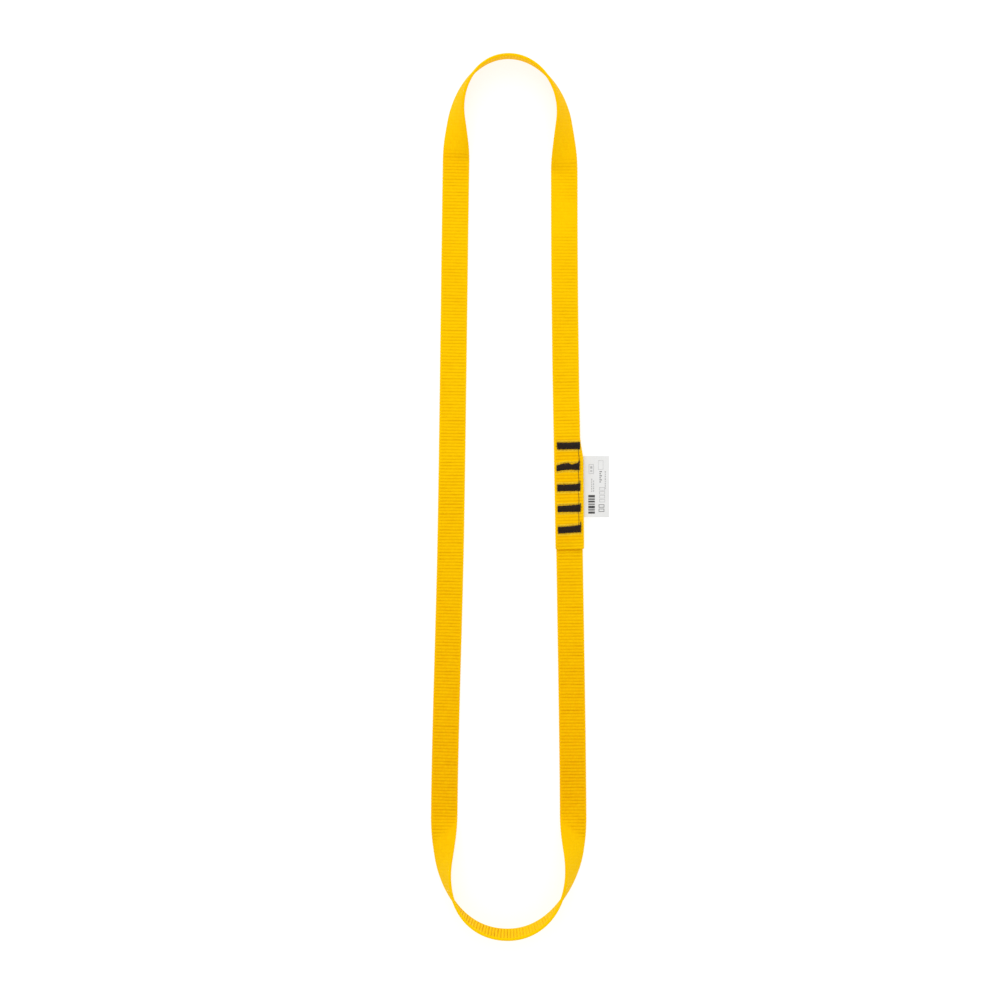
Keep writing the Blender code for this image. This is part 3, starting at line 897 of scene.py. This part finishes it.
def stitch_pattern():
    """One stitch along Y, a unit long: a round thread that rises out of the cloth and dives back."""
    deselect()
    bpy.ops.curve.primitive_bezier_curve_add(location=(0.0, 0.0, 0.0))
    curve = bpy.context.object
    first, last = curve.data.splines[0].bezier_points
    rise = 0.11
    for point, y in ((first, -0.5), (last, 0.5)):
        point.handle_left_type = "FREE"
        point.handle_right_type = "FREE"
        point.co = (0.0, y, -rise)
    first.handle_left = (0.0, -0.52, -rise * 2.0)
    first.handle_right = (0.0, -0.42, rise * 0.7)
    last.handle_left = (0.0, 0.42, rise * 0.7)
    last.handle_right = (0.0, 0.52, -rise * 2.0)
    curve.data.resolution_u = 7
    curve.data.bevel_depth = THREAD_RADIUS / (TACK_HALF_WIDTH * 2.0)
    curve.data.bevel_resolution = 2
    curve.data.use_fill_caps = True
    bpy.ops.object.convert(target="MESH")
    return bpy.context.object


def lay_stitch(pattern, low, high, height, side):
    """A copy of the stitch from one needle hole to the other, on the upper side (1) or the lower (-1)."""
    start = Vector((*low, 0.0))
    end = Vector((*high, 0.0))
    run = end - start
    length = run.length
    along = run.normalized()
    up = Vector((0.0, 0.0, side))
    aside = along.cross(up)
    thick = TACK_HALF_WIDTH * 2.0
    place = Matrix.Identity(4)
    place.col[0][:3] = aside * thick
    place.col[1][:3] = along * length
    place.col[2][:3] = up * thick
    place.col[3][:3] = (start + end) / 2.0 + Vector((0.0, 0.0, height))
    stitch = bpy.data.objects.new("stitch", pattern.data.copy())
    stitch.data.transform(place)
    bpy.context.scene.collection.objects.link(stitch)
    return stitch


def thread_height(side, lift):
    """The height of a thread that lies that far off the seam's top (1) or its underside (-1)."""
    return TOP_FACE_Z + lift if side > 0 else BOTTOM_LAYER_Z - lift


def make_tack(pattern, number, side):
    """The zigzag of one bar tack on one side of the seam, and the thread pulled up at its right corner."""
    places, _, lengths = TACK_RUNS[number]
    stitches = []
    for k in range(TACK_STITCHES):
        share = -1.0 + 2.0 * (k + 0.5) / TACK_STITCHES
        x = TACK_XS[number] + share * TACK_HALF_LENGTH
        middle = tack_middle(number, share)
        half = TACK_HALF_WIDTH * np.interp(share, places, lengths)
        slant = STITCH_SLANT if k % 2 else -STITCH_SLANT
        low = (x - slant + rng.normal(0.0, 0.00002), middle - half * (1.0 + rng.normal(0.0, 0.012)))
        high = (x + slant + rng.normal(0.0, 0.00002), middle + half * (1.0 + rng.normal(0.0, 0.012)))
        bump = 0.00007 * (k % 2) + rng.normal(0.0, 0.00003)
        height = thread_height(side, THREAD_LIFT) + side * bump
        stitches.append(lay_stitch(pattern, low, high, height, side))
    corner_x = high[0]
    spike = TACK_SPIKES[number]
    for k in range(4):
        foot = (corner_x - 0.00025 * k, middle + half * 0.15)
        tip = (corner_x - 0.00004 * k, middle + half * 0.9 + spike * (1.0 - 0.22 * k))
        stitches.append(lay_stitch(pattern, foot, tip, thread_height(side, THREAD_LIFT), side))
    only(*stitches)
    bpy.ops.object.join()
    thread = "needle" if side > 0 else "bobbin"
    piece = settle(bpy.context.object, f"tack_{number + 1}_{thread}_stitches", BLACK_THREAD)
    piece.data.shade_smooth()
    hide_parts(f"bar_tack_{number + 1}_{thread}_thread")
    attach(piece, "middle")


def make_jump(number, side):
    """The thread that runs on from the right end of one tack to the next, slack on the webbing."""
    top = tack_middle(number, 1.0) - TACK_HALF_WIDTH * 0.9
    bottom = tack_middle(number + 1, 1.0) + TACK_HALF_WIDTH * 0.9
    face = thread_height(side, THREAD_RADIUS * 0.4)
    deselect()
    bpy.ops.curve.primitive_bezier_curve_add(location=(0.0, 0.0, 0.0))
    curve = bpy.context.object
    spline = curve.data.splines[0]
    spline.bezier_points.add(2)
    shares = (0.0, 0.35, 0.7, 1.0)
    sideways = (-0.0001, 0.0000, 0.0002, -0.0001)
    lifts = (-0.0001, 0.00004, 0.00008, 0.00012)
    for point, share, aside, lift in zip(spline.bezier_points, shares, sideways, lifts):
        wander = rng.normal(0.0, 0.00004)
        point.co = (JUMP_X + aside + wander, top + (bottom - top) * share, face + side * lift)
        point.handle_left_type = "AUTO"
        point.handle_right_type = "AUTO"
    curve.data.resolution_u = 8
    curve.data.bevel_depth = THREAD_RADIUS * 0.6
    curve.data.bevel_resolution = 2
    curve.data.use_fill_caps = True
    bpy.ops.object.convert(target="MESH")
    thread = "needle" if side > 0 else "bobbin"
    piece = settle(bpy.context.object, f"jump_{number + 1}_{thread}", BLACK_THREAD)
    piece.data.shade_smooth()
    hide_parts(f"jump_{number + 1}_{thread}_thread")
    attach(piece, "middle")


def make_stitching():
    pattern = stitch_pattern()
    for number in range(TACK_COUNT):
        for side in (1, -1):
            make_tack(pattern, number, side)
    bpy.data.objects.remove(pattern)
    for number in range(TACK_COUNT - 1):
        for side in (1, -1):
            make_jump(number, side)


# ---- The label -------------------------------------------------------------------------------------


def label_height(x, y):
    """The height of the label's middle: it lifts a little past the seam and waves along its free edge."""
    out = np.clip((x - LABEL_HINGE_X) / (LABEL_OUTER_X - LABEL_HINGE_X), 0.0, 1.0)
    along = (y - LABEL_BOTTOM) / (LABEL_TOP - LABEL_BOTTOM)
    wave = LABEL_WAVE * np.sin(2.0 * math.pi * along + 0.6)
    return LABEL_Z + LABEL_LIFT * out**2 * (0.6 + wave)


def label_grid(x_lines, y_lines, lift, thickness):
    """A thin closed plate that follows the label's surface, with its lower face lifted that far."""
    deselect()
    columns = len(x_lines) - 1
    rows = len(y_lines) - 1
    bpy.ops.mesh.primitive_grid_add(x_subdivisions=columns, y_subdivisions=rows, size=2.0)
    plate = bpy.context.object
    for vertex in plate.data.vertices:
        column = int(round((vertex.co.x + 1.0) / 2.0 * columns))
        row = int(round((vertex.co.y + 1.0) / 2.0 * rows))
        x, y = x_lines[column], y_lines[row]
        vertex.co = (x, y, float(label_height(x, y)) + lift)
    bpy.ops.object.mode_set(mode="EDIT")
    bpy.ops.mesh.select_all(action="SELECT")
    bpy.ops.mesh.extrude_region_move(TRANSFORM_OT_translate={"value": (0.0, 0.0, thickness)})
    bpy.ops.mesh.select_all(action="SELECT")
    bpy.ops.mesh.normals_make_consistent(inside=False)
    bpy.ops.object.mode_set(mode="OBJECT")
    return plate


def map_flat(piece):
    """Maps a nearly level piece in millimetres, as seen from above."""
    mesh = piece.data
    places = np.empty(len(mesh.vertices) * 3)
    mesh.vertices.foreach_get("co", places)
    flat = places.reshape(-1, 3)[corner_vertices(mesh), :2] * 1000.0
    mesh.uv_layers.new(name="strip").data.foreach_set("uv", flat.ravel())


def make_label():
    hinge_lines = np.linspace(LABEL_HINGE_X - 0.0005, LABEL_HINGE_X + 0.0007, 13)
    x_lines = np.concatenate(
        [
            np.linspace(LABEL_INNER_X, hinge_lines[0], 7)[:-1],
            hinge_lines,
            np.linspace(hinge_lines[-1], LABEL_OUTER_X, 19)[1:],
        ]
    )
    y_lines = np.linspace(LABEL_BOTTOM, LABEL_TOP, 50)
    plate = label_grid(x_lines, y_lines, -LABEL_THICKNESS / 2.0, LABEL_THICKNESS)
    while plate.data.uv_layers:
        plate.data.uv_layers.remove(plate.data.uv_layers[0])
    map_flat(plate)
    only(plate)
    rounding = plate.modifiers.new("cut edge", "BEVEL")
    rounding.width = LABEL_EDGE_RADIUS
    rounding.segments = 2
    rounding.limit_method = "ANGLE"
    bpy.ops.object.modifier_apply(modifier=rounding.name)
    settle(plate, "label", WHITE_LABEL)
    plate.data.shade_smooth()
    plate.data.set_sharp_from_angle(angle=math.radians(35.0))
    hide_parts("label_sewn_margin", "label_flap")
    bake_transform(plate)


def print_bars(name, bars, ink):
    """Printed bars on the label: x and y of each one's lower left corner, its width and its height."""
    lift = LABEL_THICKNESS / 2.0 + INK_GAP
    pieces = []
    for x, y, width, height in bars:
        x_lines = np.linspace(x, x + width, max(2, int(width / INK_GRID) + 2))
        y_lines = np.linspace(y, y + height, max(2, int(height / INK_GRID) + 2))
        pieces.append(label_grid(x_lines, y_lines, lift, INK_THICKNESS))
    only(*pieces)
    bpy.ops.object.join()
    piece = settle(bpy.context.object, name, ink)
    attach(piece, "label")


def box_bars(x, y, width, height, stroke):
    """The four thin bars of a printed box."""
    return [
        (x, y, width, stroke),
        (x, y + height - stroke, width, stroke),
        (x, y + stroke, stroke, height - 2.0 * stroke),
        (x + width - stroke, y + stroke, stroke, height - 2.0 * stroke),
    ]


def stripe_bars():
    bars = []
    y = STRIPES_Y
    for height, gap in STRIPES:
        bars.append((STRIPES_X, y, STRIPES_WIDTH, height * 0.0001))
        y += (height + gap) * 0.0001
    return bars


def dash_bars():
    """Rows of dashes of uneven length."""
    bars = []
    for x, y, end in DASH_ROWS:
        while y < end:
            dash = DASH_SHORTEST + DASH_STRAY * rng.random()
            bars.append((x, y, DASH_WIDTH, dash))
            y += dash + DASH_GAP
    return bars


def make_print():
    """A striped block, empty boxes, tick marks and dashes, all without lettering."""
    print_bars("label_striped_block", stripe_bars(), DARK_INK)
    dark_boxes = [bar for box in DARK_BOXES for bar in box_bars(*box)]
    print_bars("label_dark_boxes", dark_boxes, MID_INK)
    grey_boxes = [bar for box in GREY_BOXES for bar in box_bars(*box)]
    print_bars("label_boxes_and_dashes", [*grey_boxes, *BOXED_BARS, *dash_bars()], GREY_INK)
    ticks = [(TICK_X, TICK_Y + TICK_PITCH * i, 0.0010 + 0.0006 * (i % 2), 0.0006) for i in range(TICK_COUNT)]
    print_bars("label_ticks", ticks, MID_INK)


# ---- Stage, light and camera -----------------------------------------------------------------------


def make_stage():
    deselect()
    bpy.ops.mesh.primitive_plane_add(size=FLOOR_SIZE, location=(0.0, 0.0, FLOOR_Z))
    floor = bpy.context.object
    floor.name = "floor"
    floor.data.materials.append(pale_floor())
    world = bpy.data.worlds.new("studio")
    bpy.context.scene.world = world
    world.use_nodes = True
    sky = world.node_tree.nodes["Background"]
    sky.inputs["Color"].default_value = (1.0, 1.0, 1.0, 1.0)
    sky.inputs["Strength"].default_value = STUDIO_LIGHT


def make_key_light():
    bpy.ops.object.light_add(type="AREA", location=KEY_LIGHT_PLACE)
    light = bpy.context.object
    light.name = "key_light"
    light.data.size = KEY_LIGHT_SIZE
    light.data.energy = KEY_LIGHT_POWER
    aim = Vector(KEY_LIGHT_TARGET) - Vector(KEY_LIGHT_PLACE)
    light.rotation_euler = aim.to_track_quat("-Z", "Y").to_euler()


def make_camera():
    bpy.ops.object.camera_add(location=CAMERA_PLACE, rotation=(0.0, 0.0, 0.0))
    camera = bpy.context.object
    camera.data.sensor_width = SENSOR_WIDTH
    camera.data.lens = SENSOR_WIDTH * CAMERA_PLACE[2] / VIEW_WIDTH
    scene = bpy.context.scene
    scene.camera = camera
    scene.view_settings.view_transform = "Standard"


make_webbing()
make_stitching()
make_label()
make_print()
make_stage()
make_key_light()
make_camera()
deselect()
